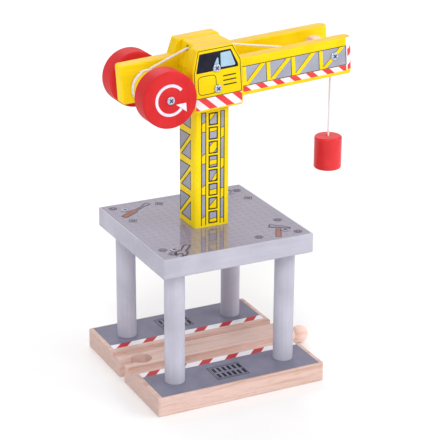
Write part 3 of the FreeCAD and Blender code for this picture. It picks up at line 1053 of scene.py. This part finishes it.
# What is yellow in each small window, from the top one down, in shares of its width and height.
window_fillings = (
    ((0, 0.3), (0, 1), (0.85, 1)),
    ((0, 0.62), (0, 1), (1, 1), (1, 0.68)),
    ((0, 0), (0, 0.55), (0.55, 1), (1, 1), (1, 0.42), (0.5, 0)),
    ((0, 0.2), (0, 0.62), (1, 0.66), (1, 0.24)),
    ((0.25, 0.04), (1, 0.85), (1, 0.25), (0.75, 0)),
    ((0, 0), (0, 0.46), (1, 0.52), (1, 0)),
    ((0.1, 0), (0, 0.25), (1, 0.98), (1, 0)),
    ((0, 0), (0, 0.34), (1, 0.42), (1, 0)),
)


fine_line = 0.35


def print_window(art, x0, x1, y0, y1, filling):
    """A small window, part grey and part yellow."""
    art.box("grey", x0, x1, y0, y1)
    outline = [(x0 + (x1 - x0) * x, y0 + (y1 - y0) * y) for x, y in filling]
    art.shape("yellow", outline, 1)
    art.stroke("black", outline, fine_line, 2, closed=True)
    art.stroke("black", [(x0, y0), (x1, y0), (x1, y1), (x0, y1)], 0.75, 3, closed=True)


def print_rail(art, x0, x1, first, length, pitch, slant_top):
    """A rail striped grey; one end of each stripe is slanted."""
    low = mast_foot + 1.3
    high = mast_top - 1.4
    rise = 1.8
    for x in (x0, x1):
        art.stroke("black", [(x, low), (x, high)], 0.5, 2)
    for k in range(-2, 2):
        foot = first + pitch * k
        head = foot + length
        if slant_top:
            outline = [(x0, foot), (x1, foot), (x1, head + rise), (x0, head)]
        else:
            outline = [(x0, foot - rise), (x1, foot), (x1, head), (x0, head)]
        outline = within_span(outline, 1, low, high)
        if len(outline) > 2:
            art.shape("grey", outline)
            art.stroke("black", outline, fine_line, 1, closed=True)


def print_panels(name, out):
    """A column of small windows between two striped rails."""
    art = Artwork(mast_face(out))
    first_top = 174.2
    pitch = 9.17
    tall = 7.3
    for index, filling in enumerate(window_fillings):
        top = first_top - pitch * index
        print_window(art, -2.2, 3.3, top - tall, top, filling)
    print_rail(art, -7.4, -4.5, first=149.0, length=13.7, pitch=20.5, slant_top=False)
    print_rail(art, 5.6, 8.1, first=144.6, length=12.3, pitch=19.8, slant_top=True)
    art.finish(name, "base")


print_lattice("mast_rear_print", REAR)
print_lattice("mast_front_print", FRONT)
print_panels("mast_right_print", RIGHT)
print_panels("mast_left_print", LEFT)


# ---------------------------------------- prints on the base

base_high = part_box("base_board")[1]


def print_base():
    """A grey yard, a hazard band and a drain grate on each side of the track."""
    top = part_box("rear_right_post")[0].z
    art = Artwork(Face(Vector((0, 0, top)), FRONT, LEFT, UP))
    end_margin = 2.9
    side_margin = 1.1
    end = base_high.x / MM - end_margin
    edge = base_high.y / MM - side_margin
    band_inner, band_outer = 20.0, 25.6
    for side in (-1, 1):
        low, high = sorted((side * band_outer, side * edge))
        art.box("base", -end, end, low, high)
        low, high = sorted((side * band_inner, side * band_outer))
        hazard(art, -end, end, low, high, first=-53.3, pitch=18.6, width=7.7, lean=5.5,
               colour="dark_red")
        print_grate(art, side)
    art.finish("base_print", "base")


def print_grate(art, side):
    """Two rows of slots in a double frame."""
    x0, x1 = -13.6, 8.1
    low, high = sorted((side * 32.0, side * 49.0))
    for inset, line in ((0, 0.45), (1.2, 0.3)):
        frame_line = [(x0 + inset, low + inset), (x1 - inset, low + inset),
                      (x1 - inset, high - inset), (x0 + inset, high - inset)]
        art.stroke("black", frame_line, line, 1, closed=True)
    slot_width = 1.8
    slot_length = 5.6
    slot_pitch = 3.5
    for column in range(6):
        x = x0 + 2.0 + slot_pitch * column
        for foot in (low + 1.9, low + 9.4):
            slot = [(x, foot), (x + slot_width, foot), (x + slot_width, foot + slot_length),
                    (x, foot + slot_length)]
            art.shape("navy", rounded(slot, 0.5, 2), 1)


# ---------------------------------------- prints on the platform

def ring_of(x, y, radius, turn, corners):
    """The corners of a regular outline about a point."""
    return [(x + radius * math.cos(turn + 2 * math.pi * k / corners),
             y + radius * math.sin(turn + 2 * math.pi * k / corners)) for k in range(corners)]


def print_nut(art, x, y, turn, corners=6, radius=3.0):
    outline = 0.7
    thread_r = 1.7
    hole_r = 0.8
    art.shape("mark", ring_of(x, y, radius, turn, corners), 1)
    art.shape("deck", ring_of(x, y, radius - outline, turn, corners), 2)
    art.shape("mark", ring_of(x, y, thread_r, 0.0, 20), 3)
    art.shape("plate", ring_of(x, y, hole_r, 0.0, 16), 4)


class Tool:
    """Artwork laid along a line: lengths along it, and to its left."""

    def __init__(self, art, start, end):
        self.art = art
        self.start = Vector(start)
        self.along = (Vector(end) - self.start).normalized()
        self.left = Vector((-self.along.y, self.along.x))

    def shape(self, colour, outline, layer=1, edge=0.5):
        placed = [tuple(self.start + self.along * a + self.left * b) for a, b in outline]
        self.art.shape(colour, placed, layer)
        self.art.stroke("mark", placed, edge, layer + 1, closed=True)


def print_hammer(art):
    """A claw hammer: the handle and the head are laid along lines of their own."""
    handle = Tool(art, (28.9, -45.9), (35.7, -32.9))
    handle.shape("brown", [(0, -1.7), (0, 1.7), (13.5, 1.5), (13.5, -1.5)])
    head = Tool(art, (32.3, -27.2), (43.1, -35.2))
    head.shape("plate", [(0, -1.9), (0, 1.9), (3.2, 2.0), (4.0, 1.4), (8.2, 1.6),
                         (13.4, -0.4), (13.4, -1.2), (8.0, -1.6), (4.0, -1.4), (3.2, -2.0)],
               3, 0.8)


def print_screwdriver(art, start, end):
    driver = Tool(art, start, end)
    driver.shape("plate", [(13.5, -0.8), (13.5, 0.8), (23.5, 0.8), (25.0, 1.7), (28.6, 1.5),
                           (28.6, -1.5), (25.0, -1.7), (23.5, -0.8)], 1, 0.8)
    driver.shape("brown", [(0, -1.5), (0, 1.5), (1.0, 2.1), (12.6, 2.2), (14.4, 1.3),
                           (14.4, -1.3), (12.6, -2.2), (1.0, -2.1)], 3)


def print_spanner(art, start, end):
    """An open-ended spanner, in outline."""
    spanner = Tool(art, start, end)
    spanner.shape("plate", [(0, -1.5), (0, 1.5), (1.2, 1.9), (9.0, 1.5), (11.4, 3.4),
                            (15.0, 3.6), (17.6, 2.0), (14.8, 1.3), (13.6, 0.0), (14.8, -1.3),
                            (17.6, -2.0), (15.0, -3.6), (11.4, -3.4), (9.0, -1.5),
                            (1.2, -1.9)], 1, 1.1)


def print_platform():
    """The deck, with nuts, bolt heads and tools lying about on it."""
    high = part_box("platform_board")[1]
    art = Artwork(Face(Vector((0, 0, high.z)), FRONT, LEFT, UP))
    margin = 1.25
    x = high.x / MM - margin
    y = high.y / MM - margin
    art.shape("deck", rounded([(-x, -y), (x, -y), (x, y), (-x, y)], 1.2))
    twelfth = math.pi / 6
    for at_x, at_y, turn in ((-44.0, 43.4, 0), (-44.5, -34.8, twelfth), (-41.6, -42.8, 0),
                             (17.8, -41.1, twelfth), (44.0, -43.1, 0),
                             (42.2, -20.1, twelfth), (43.6, 39.6, 0)):
        print_nut(art, at_x, at_y, turn)
    for at_x, at_y in ((-13.2, 39.3), (-41.0, 18.1), (43.9, 23.8)):
        print_nut(art, at_x, at_y, math.radians(17), corners=4, radius=3.6)
    print_hammer(art)
    print_screwdriver(art, (-43.6, 26.6), (-19.8, 42.5))
    print_spanner(art, (-27.8, -34.0), (-39.4, -47.6))
    print_spanner(art, (22.0, 44.0), (38.5, 40.0))
    art.finish("platform_print", "base")


print_base()
print_platform()


# ---------------------------------------- floor and light

def make_floor():
    half = 3.0
    corners = [(-half, -half, 0), (half, -half, 0), (half, half, 0), (-half, half, 0)]
    mesh = bpy.data.meshes.new("floor")
    mesh.from_pydata(corners, [], [(0, 1, 2, 3)])
    material, tree, shader = new_material("floor")
    texture = noise(tree, object_coordinates(tree), 0.02, 3.0)
    tone = ramp(tree, texture, ((0.3, grey(0.90)), (0.7, grey(0.92))))
    tree.links.new(tone, shader.inputs["Base Color"])
    shader.inputs["Roughness"].default_value = 0.9
    mesh.materials.append(material)
    floor = bpy.data.objects.new("floor", mesh)
    bpy.context.scene.collection.objects.link(floor)


def area_light(name, at, aim, size, power):
    data = bpy.data.lights.new(name, "AREA")
    data.shape = "DISK"
    data.size = size
    data.energy = power
    light = bpy.data.objects.new(name, data)
    bpy.context.scene.collection.objects.link(light)
    light.location = at
    light.rotation_mode = "QUATERNION"
    light.rotation_quaternion = (Vector(aim) - Vector(at)).to_track_quat("-Z", "Y")


def make_light():
    centre = (cad_low + cad_high) / 2
    area_light("key", (-0.72, -1.2, 1.55), centre, 0.9, 13.5)
    area_light("fill", (1.3, -0.9, 0.9), centre, 1.2, 9)
    area_light("back", (0.3, 1.4, 1.3), centre, 1.0, 8)
    world = bpy.data.worlds.new("studio")
    world.use_nodes = True
    set_values(world.node_tree.nodes["Background"], {"Color": (1, 1, 1, 1), "Strength": 0.75})
    bpy.context.scene.world = world
    bpy.context.scene.view_settings.view_transform = "Standard"


make_floor()
make_light()
